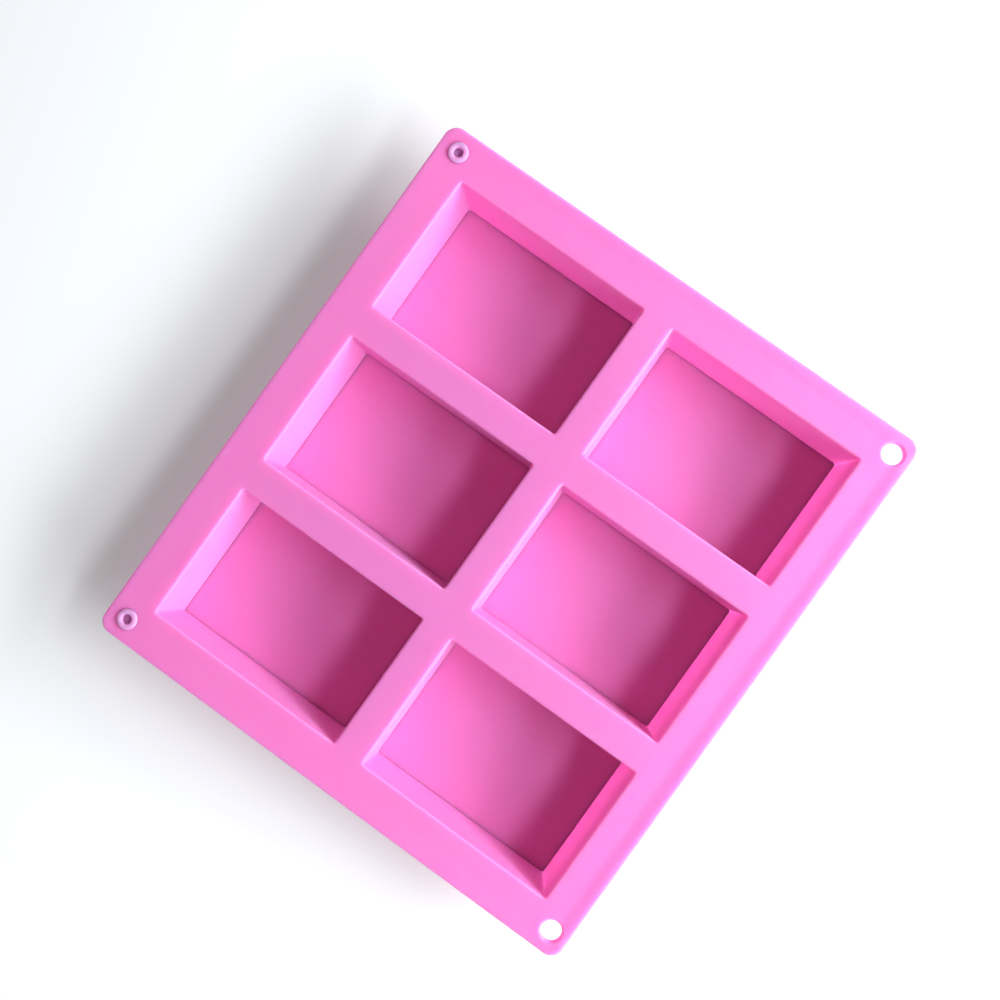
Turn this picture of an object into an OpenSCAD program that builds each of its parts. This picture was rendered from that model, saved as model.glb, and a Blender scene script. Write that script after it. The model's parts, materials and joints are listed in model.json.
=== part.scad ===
// Silicone soap mould: a thin flexible deck that folds along its middle, two columns of
// drafted cups with press-out floors, two low hollow corner pegs and two matching holes.
// The origin is the middle of the footprint, on the surface that the mould stands on.
// +X runs along the length of the cavities, towards the holes, and +Z is up.
// Sizes are in millimetres.

/* [Cavities] */
// Length of a cavity at its rim
cavity_length = 80; // [60:0.5:90]
// Width of a cavity at its rim
cavity_width = 54.7; // [40:0.1:60]
// Depth of a cavity from the deck's top to its floor
cavity_depth = 25; // [18:0.5:35]
// How far each end wall leans in, from rim to foot
end_draft = 1.6; // [0.5:0.1:3]
// How far each side wall leans in, from rim to foot
side_draft = 0.5; // [0.3:0.1:2]
// Radius of an opening's corners in the deck
opening_corner = 1; // [0.5:0.1:3]

/* [Deck] */
// Thickness of the deck
deck_thickness = 2.4; // [1.8:0.1:3]
// Strip of deck between the two columns of cavities
column_web = 12.5; // [11:0.5:20]
// Strip of deck between neighbours in a column
row_web = 13; // [10:0.5:20]
// Border beyond the cavities' ends
end_border = 15.25; // [14:0.25:25]
// Border beyond the cavities' sides
side_border = 16; // [14:0.25:25]
// Radius of the deck's outer corners
deck_corner = 5; // [3:0.5:8]

/* [Cups] */
// Thickness of a cup's walls
wall_thickness = 1.4; // [1.2:0.1:2.5]
// Thickness of a cup's floor
floor_thickness = 1.8; // [1.5:0.1:3]
// How far a floor sits above the foot of its walls
floor_recess = 0.2; // [0.2:0.1:0.5]
// Gap between a floor and the walls round it
floor_gap = 0.15; // [0.1:0.05:0.3]

/* [Pegs and holes] */
// Diameter of the two holes
hole_diameter = 7.6; // [7:0.1:9]
// Diameter of the two low pegs
peg_diameter = 7.7; // [6:0.1:8]
// How far a peg stands above the deck
peg_height = 0.9; // [0.7:0.1:2]
// Diameter of the blind bore down a peg and into the deck
peg_bore = 3.6; // [2.5:0.1:4]
// Distance from the deck's left end to the middle of a peg
peg_inset = 8.2; // [7:0.1:9]
// Distance from the deck's right end to the middle of a hole
hole_inset = 7.1; // [6.5:0.1:9]
// Distance from the deck's sides to the middle of a peg or hole
side_inset = 8.05; // [7:0.05:10]

/* [Fold] */
// Gap between the halves of the deck along the fold line
fold_gap = 0.3; // [0.25:0.05:0.5]
// Slant of the two facing edges below the fold line, in degrees
fold_relief = 11; // [5:1:20]

/* [Hidden] */
COLUMNS = ["left", "right"];
ROWS = ["rear", "middle", "front"];

exact_curve = 64;       // segments of a true circle or arc
peg_round = 0.6;        // rounding of a peg's outer top edge
peg_bore_chamfer = 0.3; // chamfer at the mouth of a peg's bore
peg_bore_skin = 1.1;    // material left in the deck under a peg's bore
cut_over = 1;           // how far a cutting shape runs past the face that it cuts

deck_top = cavity_depth + floor_thickness + floor_recess;
deck_underside = deck_top - deck_thickness;
deck_end = column_web / 2 + cavity_length + end_border;
deck_side = len(ROWS) * cavity_width / 2 + (len(ROWS) - 1) * row_web / 2 + side_border;
column_x = column_web / 2 + cavity_length / 2;
row_pitch = cavity_width + row_web;
peg_x = -(deck_end - peg_inset);
hole_x = deck_end - hole_inset;
fastener_y = deck_side - side_inset;
foot_length = cavity_length - 2 * end_draft;
foot_width = cavity_width - 2 * side_draft;

deck_colour = "#FD8FDC";
wall_colour = "#F77FCB";
floor_colour = "#E96DB9";
peg_colour = "#FDA8F0";

// +1 on the right column and -1 on the left
function side_of(column) = column == "right" ? 1 : -1;
function row_y(row) = row_pitch * (1 - search([row], ROWS)[0]);

// A rectangle about the origin with true arcs at its corners
module rounded_rectangle(length, width, radius) {
    union() {
        square([length - 2 * radius, width], center = true);
        square([length, width - 2 * radius], center = true);
        for (x = [-1, 1], y = [-1, 1])
            translate([x * (length / 2 - radius), y * (width / 2 - radius)])
                circle(r = radius, $fn = exact_curve);
    }
}

// A block whose end and side faces lean evenly outwards from its foot at z = 0
module drafted_block(foot, top, height) {
    intersection() {
        rotate([90, 0, 0])
            linear_extrude(height = 2 * top.y, center = true)
                leaning_outline(foot.x, top.x, height);
        rotate([90, 0, 90])
            linear_extrude(height = 2 * top.x, center = true)
                leaning_outline(foot.y, top.y, height);
    }
}

module leaning_outline(foot, top, height) {
    polygon([[-foot / 2, 0], [foot / 2, 0], [top / 2, height], [-top / 2, height]]);
}

module at_cup(column, row) {
    translate([side_of(column) * column_x, row_y(row), 0]) children();
}

// Everything on one side of the fold line, with the facing edge slanted away from the
// line below the deck's top, so that the halves can also bend a little downwards
module fold_side(side) {
    inner = fold_gap / 2;
    lean = deck_thickness * tan(fold_relief);
    outer = deck_end + cut_over;
    rotate([90, 0, 0])
        linear_extrude(height = 2 * deck_side + 2 * cut_over, center = true)
            polygon([
                [side * inner, deck_top], [side * (inner + lean), deck_underside],
                [side * outer, deck_underside], [side * outer, deck_top]
            ]);
}

// One half of the deck, with an opening for each cup
module deck_half(column) {
    difference() {
        intersection() {
            translate([0, 0, deck_underside])
                linear_extrude(height = deck_thickness)
                    rounded_rectangle(2 * deck_end, 2 * deck_side, deck_corner);
            fold_side(side_of(column));
        }
        for (row = ROWS)
            at_cup(column, row)
                translate([0, 0, deck_underside - cut_over])
                    linear_extrude(height = deck_thickness + 2 * cut_over)
                        rounded_rectangle(cavity_length, cavity_width, opening_corner);
    }
}

module deck_left() {
    color(deck_colour)
        difference() {
            deck_half("left");
            for (y = [-fastener_y, fastener_y])
                translate([peg_x, y, deck_underside + peg_bore_skin])
                    cylinder(d = peg_bore, h = deck_thickness, $fn = exact_curve);
        }
}

module deck_right() {
    color(deck_colour)
        difference() {
            deck_half("right");
            for (y = [-fastener_y, fastener_y])
                translate([hole_x, y, deck_underside - cut_over])
                    cylinder(d = hole_diameter, h = deck_thickness + 2 * cut_over, $fn = exact_curve);
        }
}

// A low ring with a rounded top, standing on the deck over a blind bore
module peg(y) {
    radius = peg_diameter / 2;
    bore = peg_bore / 2;
    color(peg_colour)
        translate([peg_x, y, deck_top])
            rotate_extrude($fn = exact_curve)
                polygon(concat(
                    [[bore, 0], [radius, 0]],
                    [for (turn = [0:15:90])
                        [radius - peg_round * (1 - cos(turn)), peg_height - peg_round * (1 - sin(turn))]],
                    [[bore + peg_bore_chamfer, peg_height], [bore, peg_height - peg_bore_chamfer]]
                ));
}

module peg_rear() { peg(fastener_y); }
module peg_front() { peg(-fastener_y); }

// The four drafted walls of one cup, from the ground to the deck's underside
module cup_wall(column, row) {
    wall = [2 * wall_thickness, 2 * wall_thickness];
    foot = [foot_length, foot_width];
    rim = [cavity_length, cavity_width];
    color(wall_colour)
        at_cup(column, row)
            difference() {
                drafted_block(foot + wall, rim + wall, deck_underside);
                drafted_block(foot, rim, deck_underside);
            }
}

// The floor of one cup, which a thumb presses up to push the bar out
module cup_floor(column, row) {
    color(floor_colour)
        at_cup(column, row)
            translate([0, 0, floor_recess])
                linear_extrude(height = floor_thickness)
                    rounded_rectangle(foot_length - 2 * floor_gap, foot_width - 2 * floor_gap, opening_corner);
}

deck_left();
deck_right();
peg_rear();
peg_front();
for (column = COLUMNS, row = ROWS) {
    cup_wall(column, row);
    cup_floor(column, row);
}
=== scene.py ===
import json
import math

import bmesh
import bpy
from mathutils import Matrix, Vector, geometry


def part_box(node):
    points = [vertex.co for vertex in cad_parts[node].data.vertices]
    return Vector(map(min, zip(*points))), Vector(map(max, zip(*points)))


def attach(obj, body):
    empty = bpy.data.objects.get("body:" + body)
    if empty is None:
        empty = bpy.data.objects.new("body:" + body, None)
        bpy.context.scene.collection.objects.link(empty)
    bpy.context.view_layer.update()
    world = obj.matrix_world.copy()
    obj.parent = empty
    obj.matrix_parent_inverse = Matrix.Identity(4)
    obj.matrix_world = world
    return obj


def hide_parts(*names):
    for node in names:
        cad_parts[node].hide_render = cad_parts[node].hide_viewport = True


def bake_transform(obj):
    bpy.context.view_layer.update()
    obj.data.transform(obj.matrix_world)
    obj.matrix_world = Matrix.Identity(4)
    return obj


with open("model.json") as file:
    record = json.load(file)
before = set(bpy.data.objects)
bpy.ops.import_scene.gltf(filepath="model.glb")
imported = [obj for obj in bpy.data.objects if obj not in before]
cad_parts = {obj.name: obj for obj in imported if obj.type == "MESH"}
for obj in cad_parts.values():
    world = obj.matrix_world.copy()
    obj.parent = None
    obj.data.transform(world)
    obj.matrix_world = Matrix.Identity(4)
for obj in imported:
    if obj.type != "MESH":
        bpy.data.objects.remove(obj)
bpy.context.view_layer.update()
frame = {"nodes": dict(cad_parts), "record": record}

# A soap mould of pink silicone: a flexible deck with six drafted cups, two corner pegs and
# two corner holes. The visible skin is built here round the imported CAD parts. Everything is
# in metres, rear is +Y, and the right column, with the holes, is at +X.

MM = 0.001
COLUMNS = ("left", "right")
ROWS = ("rear", "middle", "front")

# ---------------------------------------------------------------- sizes that the frame gives

boxes = {name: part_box(name) for name in frame["nodes"]}
DECK_HALF = boxes["deck_right"][1].xy
DECK_UNDERSIDE = boxes["deck_right"][0].z
DECK_TOP = boxes["deck_right"][1].z
mounts = {mount["name"]: mount for mount in frame["record"]["mounts"]}
HOLES = [Vector(mounts[name]["pos_m"]).xy for name in ("hole_rear", "hole_front")]
HOLE_RADIUS = mounts["hole_rear"]["dims"]["r_mm"] * MM
PEG_ROWS = ("rear", "front")
PEGS = [(boxes[f"peg_{row}"][0] + boxes[f"peg_{row}"][1]).xy / 2 for row in PEG_ROWS]

# ---------------------------------------------------------------- sizes of the moulding

WALL = 1.4 * MM                # thickness of the cups' walls
FLOOR_GAP = 0.15 * MM          # clearance round the CAD floors, which the skin fills
DECK_CORNER = 5.0 * MM         # radius of the deck's corners, seen from above
DECK_TOP_ROUND = 0.8 * MM      # rounding of the deck's upper outer edge
DECK_BOTTOM_ROUND = 0.5 * MM   # rounding of the deck's lower outer edge
RIM_ROUND = 0.7 * MM           # rounding of the cavities' rims
RIM_CORNER = 0.9 * MM          # radius of the cavities' upright corners
CUP_BOTTOM_ROUND = 1.2 * MM    # rounding round the foot of a cup
CUP_OUTER_CORNER = 2.6 * MM    # radius of a cup's upright outer corners
CUP_ROOT = 0.8 * MM            # fillet where a cup meets the deck's underside
FOOT_EDGE = 0.15 * MM          # rounding of the foot's inner edge, round the floor's underside
FLOOR_TUCK = 0.7 * MM          # how far a floor's edge is tucked into the walls
SUPPORT = 0.3 * MM             # width of the strip that keeps flat faces flat beside a rounding
HOLE_ROUND = 0.8 * MM          # rounding of the holes' upper edges
HOLE_BOTTOM_ROUND = 0.4 * MM   # rounding of the holes' lower edges
COLLAR_HEIGHT = 0.25 * MM      # swelling of the deck round each hole
COLLAR_WIDTH = 3.2 * MM        # how far the swelling reaches from a hole's edge
LIP_HEIGHT = 0.5 * MM          # rise of the deck along its right edge, where it is highest
LIP_CREST = 1.2 * MM           # width of the level crest of that rise
LIP_WIDTH = 6.5 * MM           # distance from the edge at which the deck is flat again
LIP_SHARES = {"right": 1.0, "rear": 0.7, "front": 0.35, "left": 0.1}
LIP_BLEND = 2.0 * MM           # softens how the rise passes from one side to the next
FOLD_REACH = 3.2 * MM          # half the width of the strip that bends when the mould folds
PEG_TOP_ROUND = 0.75 * MM      # rounding of a peg's outer top edge
PEG_MOUTH_ROUND = 0.5 * MM     # rounding of the mouth of its bore
PEG_BORE_RADIUS = 1.8 * MM     # radius of that bore, which is blind
PEG_BORE_SKIN = 1.1 * MM       # material left in the deck under a peg's bore
PEG_BORE_FLOOR = 0.9 * MM      # thickness of the lining at the bottom of the bore
PEG_BORE_SUNK = 0.7 * MM       # how far that goes into the deck's material under the bore
PEG_SUNK = 0.8 * MM            # how far a peg's outside goes into the deck
PEG_SLEEVE = 0.1 * MM          # how far the bore's lining overlaps the deck round it

MESH_CLEARANCE = 0.55 * MM     # room between a rounding and the nearest of the deck's inner points
MERGE_DISTANCE = 0.001 * MM    # points nearer than this are one point
SHEET_TOLERANCE = 1e-5         # of the triangulation, in millimetres
SHARP_TURN = math.radians(40)  # faces that meet at more than this have a sharp edge

ARC_STEPS = 10                 # faces across a quarter turn of an upright corner
ROUND_STEPS = 4                # faces across a rounding or fillet
HOLE_STEPS = 48                # faces round a hole
PEG_STEPS = 64                 # faces round a peg
DECK_CELL = 3.2 * MM           # spacing of the deck's points where it is flat
LIP_CELL = 0.65 * MM           # and across the raised edge
FOLD_CELL = 0.5 * MM           # and across the strip that bends
FLOOR_CELL = 5.0 * MM          # and over a cup's floor

QUARTER_TURN = math.pi / 2


def smooth_step(low, high, value):
    share = min(max((value - low) / (high - low), 0), 1)
    return share * share * (3 - 2 * share)


def spread(start, stop, cell):
    """Evenly spaced places from start to stop, both included, about a cell apart."""
    count = max(1, round((stop - start) / cell))
    return [start + (stop - start) * i / count for i in range(count + 1)]


def quarter(radius):
    """(run, rise) along a quarter circle that leaves (0, 0) along the run, up to
    (radius, radius)."""
    turns = [QUARTER_TURN * i / ROUND_STEPS for i in range(ROUND_STEPS + 1)]
    return [(radius * math.sin(turn), radius * (1 - math.cos(turn))) for turn in turns]


# ---------------------------------------------------------------- loops and meshes

def rectangle_loop(centre, half, radius, height, xs=(), ys=()):
    """Points anticlockwise round a rectangle with round corners. xs and ys are the places of
    points along its straight sides."""
    corner = half - Vector((radius, radius))

    def arc(start_turn, sign_x, sign_y):
        for i in range(ARC_STEPS + 1):
            turn = start_turn + QUARTER_TURN * i / ARC_STEPS
            yield (centre.x + sign_x * corner.x + radius * math.cos(turn),
                   centre.y + sign_y * corner.y + radius * math.sin(turn))

    flat = [(centre.x + half.x, y) for y in ys]
    flat += arc(0, 1, 1)
    flat += [(x, centre.y + half.y) for x in reversed(xs)]
    flat += arc(QUARTER_TURN, -1, 1)
    flat += [(centre.x - half.x, y) for y in reversed(ys)]
    flat += arc(2 * QUARTER_TURN, -1, -1)
    flat += [(x, centre.y - half.y) for x in xs]
    flat += arc(3 * QUARTER_TURN, 1, -1)
    return raised(flat, height)


def circle_loop(centre, radius, height, steps):
    turns = [4 * QUARTER_TURN * i / steps for i in range(steps)]
    flat = [(centre.x + radius * math.cos(turn), centre.y + radius * math.sin(turn))
            for turn in turns]
    return raised(flat, height)


def raised(flat, height):
    """The (x, y) places as points. height is a number, or a function of x and y."""
    return [Vector((x, y, height(x, y) if callable(height) else height)) for x, y in flat]


def add_bands(mesh, loops):
    """Faces between each loop and the next, which all have the same number of points."""
    rings = [[mesh.verts.new(point) for point in loop] for loop in loops]
    for ring, following in zip(rings, rings[1:]):
        for i in range(len(ring)):
            j = (i + 1) % len(ring)
            mesh.faces.new((ring[i], ring[j], following[j], following[i]))


def add_sheet(mesh, outline, openings, inner_points):
    """A face set that fills outline, has openings in it and runs through the inner points."""
    points = list(outline)
    edges = [(i, (i + 1) % len(outline)) for i in range(len(outline))]
    owners = [-1] * len(outline)
    for index, opening in enumerate(openings):
        first = len(points)
        count = len(opening)
        edges += [(first + i, first + (i + 1) % count) for i in range(count)]
        points += opening
        owners += [index] * count
    points += inner_points
    owners += [-1] * len(inner_points)
    flat = [point.xy / MM for point in points]
    places, _, triangles, sources, _, _ = geometry.delaunay_2d_cdt(flat, edges, [], 0,
                                                                   SHEET_TOLERANCE)
    source = [found[0] for found in sources]
    verts = [mesh.verts.new(points[i]) for i in source]
    kept = []
    for triangle in triangles:
        owner = {owners[source[i]] for i in triangle}
        in_opening = len(owner) == 1 and -1 not in owner
        if not in_opening:
            kept.append(triangle)
    for corners in paired(kept, places):
        mesh.faces.new([verts[i] for i in corners])


def paired(triangles, places):
    """The triangles, with each two that share their longest edge joined into a quad."""
    across = {}
    for triangle in triangles:
        turned = [triangle[i:] + triangle[:i] for i in range(3)]
        a, b, apex = max(turned, key=lambda turn: (places[turn[0]] - places[turn[1]]).length)
        across.setdefault(frozenset((a, b)), []).append((a, b, apex))
    for group in across.values():
        a, b, apex = group[0]
        yield (a, b, apex) if len(group) == 1 else (a, group[1][2], b, apex)


def finish_piece(name, mesh, material):
    """One closed skin, with its faces outwards and its real edges sharp."""
    bmesh.ops.remove_doubles(mesh, verts=mesh.verts, dist=MERGE_DISTANCE)
    bmesh.ops.recalc_face_normals(mesh, faces=mesh.faces)
    for face in mesh.faces:
        face.smooth = True
    data = bpy.data.meshes.new(name)
    mesh.to_mesh(data)
    mesh.free()
    data.set_sharp_from_angle(angle=SHARP_TURN)
    piece = bpy.data.objects.new(name, data)
    bpy.context.scene.collection.objects.link(piece)
    data.materials.append(material)
    return piece


# ---------------------------------------------------------------- the cavities' shape

def cup_centre(column, row):
    low, high = boxes[f"cup_wall_{column}_{row}"]
    return (low + high).xy / 2


def half_size(name):
    low, high = boxes[name]
    return (high - low).xy / 2


RIM_HALF = half_size("cup_wall_left_rear") - Vector((WALL, WALL))
FOOT_HALF = half_size("cup_floor_left_rear") + Vector((FLOOR_GAP, FLOOR_GAP))
FLOOR_TOP = boxes["cup_floor_left_rear"][1].z
FLOOR_UNDERSIDE = boxes["cup_floor_left_rear"][0].z
CUPS = [(column, row) for column in COLUMNS for row in ROWS]


def cavity_half(z):
    """Half the length and width between a cavity's drafted walls at height z."""
    return FOOT_HALF.lerp(RIM_HALF, z / DECK_TOP)


def grown(half, amount):
    return half + Vector((amount, amount))


# ---------------------------------------------------------------- the deck

def edge_distance(x, y):
    """Distance from the deck's outline, inwards."""
    over_x = abs(x) - (DECK_HALF.x - DECK_CORNER)
    over_y = abs(y) - (DECK_HALF.y - DECK_CORNER)
    corner = math.hypot(max(over_x, 0), max(over_y, 0))
    return DECK_CORNER - corner - min(max(over_x, over_y), 0)


def lip_share(x, y):
    """How high the raised edge is at a place, from the height along the sides near it."""
    gaps = {
        "right": DECK_HALF.x - x, "left": DECK_HALF.x + x,
        "rear": DECK_HALF.y - y, "front": DECK_HALF.y + y,
    }
    weights = {side: 1 / (max(gap, 0) + LIP_BLEND) ** 2 for side, gap in gaps.items()}
    total = sum(LIP_SHARES[side] * weight for side, weight in weights.items())
    return total / sum(weights.values())


def deck_surface(x, y):
    """Height of the deck's upper face."""
    lip = 1 - smooth_step(LIP_CREST, LIP_WIDTH, edge_distance(x, y))
    height = DECK_TOP + LIP_HEIGHT * lip_share(x, y) * lip
    for hole in HOLES:
        beyond = math.hypot(x - hole.x, y - hole.y) - HOLE_RADIUS
        height += COLLAR_HEIGHT * (1 - smooth_step(0, COLLAR_WIDTH, beyond))
    return height


def deck_places(half, fold):
    """Places of the deck's points along one axis, which crosses the fold line or doesn't."""
    band = spread(half - LIP_WIDTH, half - LIP_CREST, LIP_CELL)
    if fold:
        middle = spread(0, FOLD_REACH, FOLD_CELL)[:-1]
        middle += spread(FOLD_REACH, half - LIP_WIDTH, DECK_CELL)[:-1]
    else:
        middle = spread(0, half - LIP_WIDTH, DECK_CELL)[:-1]
    positive = middle + band
    return [-place for place in reversed(positive[1:])] + positive


def between(places, low, high):
    return [place for place in places if low < place < high]


def deck_inner_points(xs, ys, edge_round, rim_round, hole_round):
    """The grid's (x, y) places that are clear of the deck's outline, its openings, their
    roundings and the pegs."""
    reach = grown(RIM_HALF, rim_round + MESH_CLEARANCE)
    hole_reach = HOLE_RADIUS + hole_round + MESH_CLEARANCE

    def in_cup(x, y):
        return any(abs(x - centre.x) < reach.x and abs(y - centre.y) < reach.y
                   for centre in (cup_centre(column, row) for column, row in CUPS))

    def near_hole_or_peg(x, y):
        return any(math.hypot(x - place.x, y - place.y) < hole_reach for place in HOLES + PEGS)

    return [(x, y) for x in xs for y in ys
            if edge_distance(x, y) > edge_round + MESH_CLEARANCE
            and not in_cup(x, y) and not near_hole_or_peg(x, y)]


def outer_loops(xs, ys):
    """The deck's outer edge, from its underside round to its upper face."""
    centre = Vector((0, 0))
    straight = DECK_HALF - Vector((DECK_CORNER, DECK_CORNER))
    side_xs = between(xs, -straight.x, straight.x)
    side_ys = between(ys, -straight.y, straight.y)

    def loop(inset, height):
        half = grown(DECK_HALF, -inset)
        return rectangle_loop(centre, half, DECK_CORNER - inset, height, side_xs, side_ys)

    loops = [loop(DECK_BOTTOM_ROUND + SUPPORT, DECK_UNDERSIDE)]
    for run, rise in quarter(DECK_BOTTOM_ROUND):
        loops.append(loop(DECK_BOTTOM_ROUND - run, DECK_UNDERSIDE + rise))
    for run, rise in reversed(quarter(DECK_TOP_ROUND)):
        loops.append(loop(DECK_TOP_ROUND - run, lambda x, y: deck_surface(x, y) - rise))
    loops.append(loop(DECK_TOP_ROUND + SUPPORT, deck_surface))
    return loops


def cup_loops(column, row, xs, ys):
    """One cup's walls: over the rim, down the inside to the foot, and up the outside to the
    deck's underside."""
    centre = cup_centre(column, row)
    straight = grown(FOOT_HALF, -RIM_CORNER)
    side_xs = between(xs, centre.x - straight.x, centre.x + straight.x)
    side_ys = between(ys, centre.y - straight.y, centre.y + straight.y)

    def inner(offset, z):
        half = grown(cavity_half(z), offset)
        return rectangle_loop(centre, half, RIM_CORNER + offset, z, side_xs, side_ys)

    def outer(offset, z):
        half = grown(cavity_half(z), WALL + offset)
        return rectangle_loop(centre, half, CUP_OUTER_CORNER + offset, z, side_xs, side_ys)

    loops = [inner(RIM_ROUND + SUPPORT, DECK_TOP)]
    for run, drop in quarter(RIM_ROUND):
        loops.append(inner(RIM_ROUND - run, DECK_TOP - drop))
    loops.append(inner(0, DECK_TOP - RIM_ROUND - SUPPORT))
    loops.append(inner(0, FOOT_EDGE))
    loops.append(inner(FOOT_EDGE, 0))
    for run, rise in quarter(CUP_BOTTOM_ROUND):
        loops.append(outer(run - CUP_BOTTOM_ROUND, rise))
    loops.append(outer(0, CUP_BOTTOM_ROUND + SUPPORT))
    loops.append(outer(0, DECK_UNDERSIDE - CUP_ROOT - SUPPORT))
    for run, drop in reversed(quarter(CUP_ROOT)):
        loops.append(outer(CUP_ROOT - run, DECK_UNDERSIDE - drop))
    loops.append(outer(CUP_ROOT + SUPPORT, DECK_UNDERSIDE))
    return loops


def hole_loops(hole):
    """One hole, from the deck's upper face through to its underside."""
    def loop(offset, height):
        return circle_loop(hole, HOLE_RADIUS + offset, height, HOLE_STEPS)

    loops = [loop(HOLE_ROUND + SUPPORT, deck_surface)]
    for run, drop in quarter(HOLE_ROUND):
        loops.append(loop(HOLE_ROUND - run, lambda x, y: deck_surface(x, y) - drop))
    for run, rise in reversed(quarter(HOLE_BOTTOM_ROUND)):
        loops.append(loop(HOLE_BOTTOM_ROUND - run, DECK_UNDERSIDE + rise))
    loops.append(loop(HOLE_BOTTOM_ROUND + SUPPORT, DECK_UNDERSIDE))
    return loops


def pocket_loops(peg):
    """The blind bore under one peg, which the peg's own lining covers."""
    radius = PEG_BORE_RADIUS + PEG_SLEEVE
    return [circle_loop(peg, radius, deck_surface, PEG_STEPS),
            circle_loop(peg, radius, DECK_UNDERSIDE + PEG_BORE_SKIN, PEG_STEPS)]


def make_deck(material):
    """The deck and the walls of all the cups, in one skin, with its points set closer together
    across the strip along the fold line.
    """
    mesh = bmesh.new()
    xs = deck_places(DECK_HALF.x, fold=True)
    ys = deck_places(DECK_HALF.y, fold=False)
    outer = outer_loops(xs, ys)
    cups = [cup_loops(column, row, xs, ys) for column, row in CUPS]
    holes = [hole_loops(hole) for hole in HOLES]
    pockets = [pocket_loops(peg) for peg in PEGS]
    for loops in [outer, *cups, *holes, *pockets]:
        add_bands(mesh, loops)
    for loops in pockets:
        add_sheet(mesh, loops[-1], [], [])
    upper = deck_inner_points(xs, ys, DECK_TOP_ROUND, RIM_ROUND, HOLE_ROUND)
    add_sheet(mesh, outer[-1], [loops[0] for loops in cups + holes + pockets],
              raised(upper, deck_surface))
    lower = deck_inner_points(xs, ys, DECK_BOTTOM_ROUND, WALL + CUP_ROOT, HOLE_BOTTOM_ROUND)
    add_sheet(mesh, outer[0], [loops[-1] for loops in cups + holes],
              raised(lower, DECK_UNDERSIDE))
    deck = finish_piece("deck_and_walls", mesh, material)
    walls = [f"cup_wall_{column}_{row}" for column, row in CUPS]
    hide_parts("deck_left", "deck_right", *walls)
    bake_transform(deck)


# ---------------------------------------------------------------- the floors of the cups

def make_floor_panel(column, row, material):
    """The floor of one cup. Its edge is tucked into the walls, so that no slit opens round it
    when it is pressed up between them."""
    centre = cup_centre(column, row)
    half = grown(FOOT_HALF, FLOOR_TUCK)

    def outline(inset, z):
        return rectangle_loop(centre, grown(half, -inset), RIM_CORNER + FLOOR_TUCK - inset, z)

    loops = [outline(SUPPORT, FLOOR_TOP), outline(0, FLOOR_TOP),
             outline(0, FLOOR_UNDERSIDE), outline(SUPPORT, FLOOR_UNDERSIDE)]
    mesh = bmesh.new()
    add_bands(mesh, loops)
    reach = grown(half, -SUPPORT - FLOOR_TUCK)
    for loop, z in ((loops[0], FLOOR_TOP), (loops[-1], FLOOR_UNDERSIDE)):
        inner_points = [
            Vector((centre.x + x, centre.y + y, z))
            for x in spread(-reach.x, reach.x, FLOOR_CELL)
            for y in spread(-reach.y, reach.y, FLOOR_CELL)
        ]
        add_sheet(mesh, loop, [], inner_points)
    floor = finish_piece(f"floor_panel_{column}_{row}", mesh, material)
    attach(floor, f"floor_{column}_{row}")
    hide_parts(f"cup_floor_{column}_{row}")


# ---------------------------------------------------------------- the pegs

def make_peg(row, centre, material):
    """A low round peg with a blind bore, which it lines down into the deck."""
    low, high = boxes[f"peg_{row}"]
    radius = (high - low).x / 2
    lining_bottom = DECK_UNDERSIDE + PEG_BORE_SKIN - PEG_BORE_SUNK
    profile = [(PEG_BORE_RADIUS + PEG_SLEEVE, lining_bottom), (radius, low.z - PEG_SUNK)]
    top_centre = radius - PEG_TOP_ROUND
    mouth_centre = PEG_BORE_RADIUS + PEG_MOUTH_ROUND
    profile += [(top_centre + run, high.z - drop) for run, drop in reversed(quarter(PEG_TOP_ROUND))]
    profile += [(mouth_centre - run, high.z - drop) for run, drop in quarter(PEG_MOUTH_ROUND)]
    profile.append((PEG_BORE_RADIUS, lining_bottom + PEG_BORE_FLOOR))
    loops = [circle_loop(centre, reach, z, PEG_STEPS) for reach, z in profile]
    mesh = bmesh.new()
    add_bands(mesh, loops)
    for loop in (loops[0], loops[-1]):
        add_sheet(mesh, loop, [], [])
    peg = finish_piece(f"corner_peg_{row}", mesh, material)
    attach(peg, "left_half")
    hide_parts(f"peg_{row}")


# ---------------------------------------------------------------- silicone

# The colour drifts softly between the two of a pair. The pegs' pair is painted a little paler. This
# is a painted highlight for the extra light their raised rings catch; they are the same silicone as
# the deck.
SKIN_COLOURS = ((0.868, 0.229, 0.549), (0.851, 0.213, 0.527))
PEG_PAINTED_PALER_COLOURS = ((0.900, 0.330, 0.660), (0.880, 0.300, 0.630))
SCATTER_REACH = 7.1 * MM                 # how far light travels in the silicone
SCATTER_SHARES = (1.0, 0.77, 0.74)       # of that reach, in red, green and blue
SILICONE_IOR = 1.41
ROUGHNESS_RANGE = (0.49, 0.61)
GRAIN_STRENGTH = 0.25
GRAIN_DEPTH = 0.03 * MM

# Scale and detail of the noise behind each
COLOUR_CLOUDS = (28, 3)
BLOOM = (260, 4)                         # the dusty bloom that makes the sheen uneven
GRAIN = (1400, 2)


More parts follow.
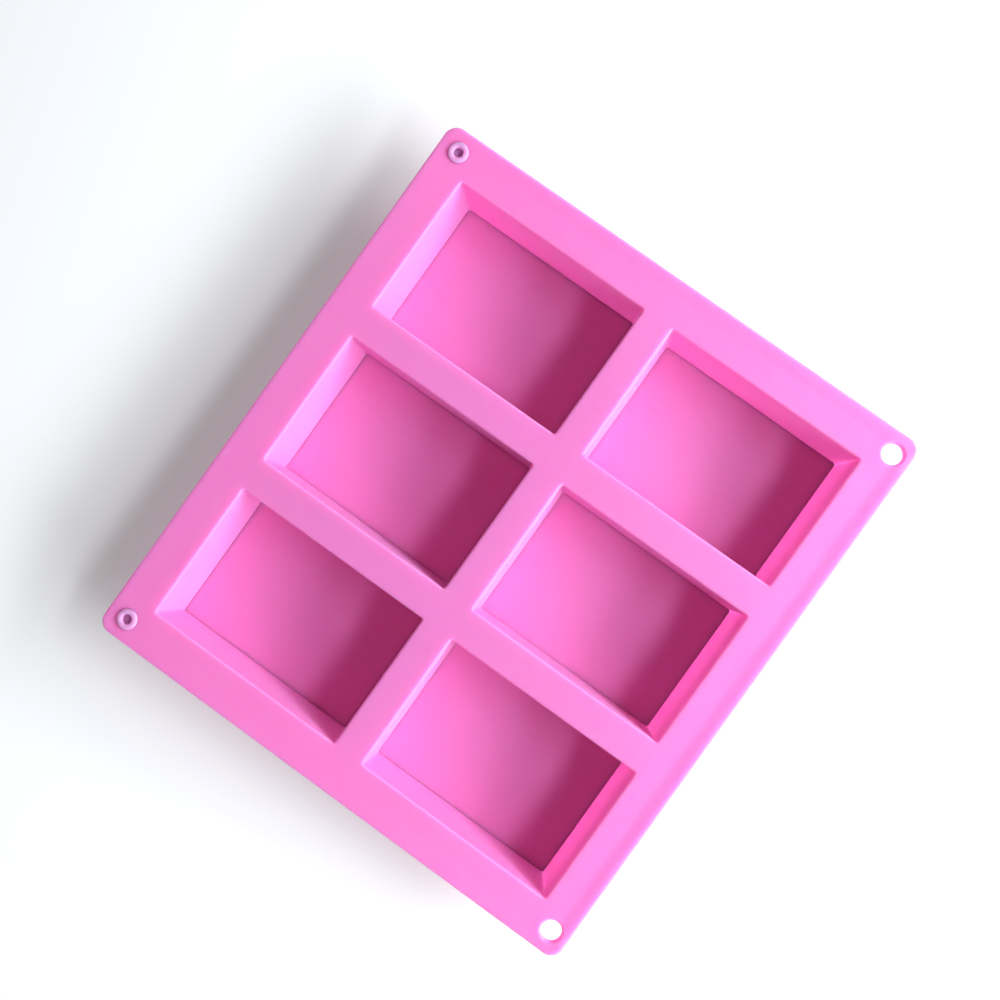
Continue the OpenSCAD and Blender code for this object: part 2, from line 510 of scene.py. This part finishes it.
def silicone(name, colours):
    """Pink platinum silicone: light travels a few millimetres in it, red the furthest."""
    material = bpy.data.materials.new(name)
    material.use_nodes = True
    nodes = material.node_tree.nodes
    link = material.node_tree.links.new
    shader = nodes["Principled BSDF"]
    shader.subsurface_method = "RANDOM_WALK"
    shader.inputs["Subsurface Weight"].default_value = 1.0
    shader.inputs["Subsurface Radius"].default_value = SCATTER_SHARES
    shader.inputs["Subsurface Scale"].default_value = SCATTER_REACH
    shader.inputs["IOR"].default_value = SILICONE_IOR
    place = nodes.new("ShaderNodeTexCoord")

    def noise(scale, detail):
        texture = nodes.new("ShaderNodeTexNoise")
        texture.inputs["Scale"].default_value = scale
        texture.inputs["Detail"].default_value = detail
        link(place.outputs["Object"], texture.inputs["Vector"])
        return texture.outputs["Fac"]

    mix = nodes.new("ShaderNodeMix")
    mix.data_type = "RGBA"
    for socket, colour in zip(("A", "B"), colours):
        mix.inputs[socket].default_value = (*colour, 1)
    link(noise(*COLOUR_CLOUDS), mix.inputs["Factor"])
    link(mix.outputs["Result"], shader.inputs["Base Color"])

    sheen = nodes.new("ShaderNodeMapRange")
    for socket, roughness in zip(("To Min", "To Max"), ROUGHNESS_RANGE):
        sheen.inputs[socket].default_value = roughness
    link(noise(*BLOOM), sheen.inputs["Value"])
    link(sheen.outputs["Result"], shader.inputs["Roughness"])

    bump = nodes.new("ShaderNodeBump")
    bump.inputs["Strength"].default_value = GRAIN_STRENGTH
    bump.inputs["Distance"].default_value = GRAIN_DEPTH
    link(noise(*GRAIN), bump.inputs["Height"])
    link(bump.outputs["Normal"], shader.inputs["Normal"])
    return material


deck_material = silicone("pink_silicone_deck", SKIN_COLOURS)
cup_material = silicone("pink_silicone_cup", SKIN_COLOURS)
# The pegs' material takes the paler pair: a painted highlight, not a different silicone.
peg_painted_highlight_material = silicone("pink_silicone_peg_painted_highlight", PEG_PAINTED_PALER_COLOURS)

make_deck(deck_material)
for column, row in CUPS:
    make_floor_panel(column, row, cup_material)
for row, centre in zip(PEG_ROWS, PEGS):
    make_peg(row, centre, peg_painted_highlight_material)

# ---------------------------------------------------------------- floor, light and camera

STUDIO_HALF = 3.0                        # half the side of the studio's floor
STUDIO_COLOUR = (0.78, 0.78, 0.78)
STUDIO_GLOW = 0.21                       # keeps the shadows on the floor pale
STUDIO_ROUGHNESS = 0.9
STUDIO_SPECULAR = 0.2

# A wide window beyond the right edge, and a wider screen low under it. Headings run from +X
# towards +Y, and elevations are those of the panels' middles, seen from the mould. Distances
# are measured along the floor.
WINDOW = {"heading": 19.0, "elevation": 48.4, "distance": 0.720,
          "width": 0.952, "height": 0.156, "power": 6.40}
SCREEN = {"heading": 20.9, "elevation": 27.0, "distance": 0.900,
          "width": 1.584, "height": 0.275, "power": 22.6}
PANEL_AIM = Vector((0, 0, 20)) * MM
PANEL_COLOUR = (0.985, 1.03, 1.09)       # daylight, a little blue

# The room is bright near the horizon and dark overhead.
HORIZON_GLOW = 0.68
OVERHEAD_GLOW = 0.005
HORIZON_FADE = 1.0                       # sine of the elevation at which the glow has faded

# A camera almost straight above, turned so that the mould stands on a corner in the picture.
CAMERA_PLACE = Vector((15.2, 3.8, 376.8)) * MM
CAMERA_AIM = Vector((-1.8, 0.7, 27.0)) * MM
PICTURE_UP_HEADING = math.radians(125.54)  # where the picture's top is, from +X towards +Y
SENSOR = 36                              # with the lens, in millimetres
LENS = 35.45
SHIFT_Y = 0.0325
NEAREST = 0.01                           # where the camera's view starts


def make_floor():
    mesh = bmesh.new()
    bmesh.ops.create_grid(mesh, x_segments=1, y_segments=1, size=STUDIO_HALF)
    data = bpy.data.meshes.new("studio_floor")
    mesh.to_mesh(data)
    mesh.free()
    floor = bpy.data.objects.new("studio_floor", data)
    bpy.context.scene.collection.objects.link(floor)
    material = bpy.data.materials.new("studio_floor")
    material.use_nodes = True
    shader = material.node_tree.nodes["Principled BSDF"]
    shader.inputs["Base Color"].default_value = (*STUDIO_COLOUR, 1)
    shader.inputs["Roughness"].default_value = STUDIO_ROUGHNESS
    shader.inputs["Specular IOR Level"].default_value = STUDIO_SPECULAR
    shader.inputs["Emission Color"].default_value = (1, 1, 1, 1)
    shader.inputs["Emission Strength"].default_value = STUDIO_GLOW
    data.materials.append(material)


def make_panel(name, heading, elevation, distance, width, height, power):
    """A soft rectangular light that faces the mould."""
    light = bpy.data.lights.new(name, "AREA")
    light.shape = "RECTANGLE"
    light.size = width
    light.size_y = height
    light.energy = power
    light.color = PANEL_COLOUR
    panel = bpy.data.objects.new(name, light)
    bpy.context.scene.collection.objects.link(panel)
    turn = math.radians(heading)
    rise = math.tan(math.radians(elevation))
    away = Vector((math.cos(turn), math.sin(turn), rise)) * distance
    panel.location = PANEL_AIM + away
    panel.rotation_euler = away.to_track_quat("Z", "Y").to_euler()


def make_camera():
    data = bpy.data.cameras.new("camera")
    data.sensor_width = SENSOR
    data.lens = LENS
    data.shift_y = SHIFT_Y
    data.clip_start = NEAREST
    camera = bpy.data.objects.new("camera", data)
    bpy.context.scene.collection.objects.link(camera)
    back = (CAMERA_PLACE - CAMERA_AIM).normalized()
    up_hint = Vector((math.cos(PICTURE_UP_HEADING), math.sin(PICTURE_UP_HEADING), 0))
    right = up_hint.cross(back).normalized()
    up = back.cross(right)
    turn = Matrix((right, up, back)).transposed().to_4x4()
    camera.matrix_world = Matrix.Translation(CAMERA_PLACE) @ turn
    bpy.context.scene.camera = camera


def make_room():
    world = bpy.data.worlds.new("studio")
    world.use_nodes = True
    nodes = world.node_tree.nodes
    link = world.node_tree.links.new
    background = nodes["Background"]
    background.inputs["Color"].default_value = (1, 1, 1, 1)
    place = nodes.new("ShaderNodeTexCoord")
    split = nodes.new("ShaderNodeSeparateXYZ")
    link(place.outputs["Generated"], split.inputs["Vector"])
    fade = nodes.new("ShaderNodeMapRange")
    fade.interpolation_type = "SMOOTHSTEP"
    fade.inputs["From Min"].default_value = 0
    fade.inputs["From Max"].default_value = HORIZON_FADE
    fade.inputs["To Min"].default_value = HORIZON_GLOW
    fade.inputs["To Max"].default_value = OVERHEAD_GLOW
    link(split.outputs["Z"], fade.inputs["Value"])
    link(fade.outputs["Result"], background.inputs["Strength"])
    bpy.context.scene.world = world
    bpy.context.scene.view_settings.view_transform = "Standard"


make_floor()
make_panel("window", **WINDOW)
make_panel("screen", **SCREEN)
make_room()
make_camera()
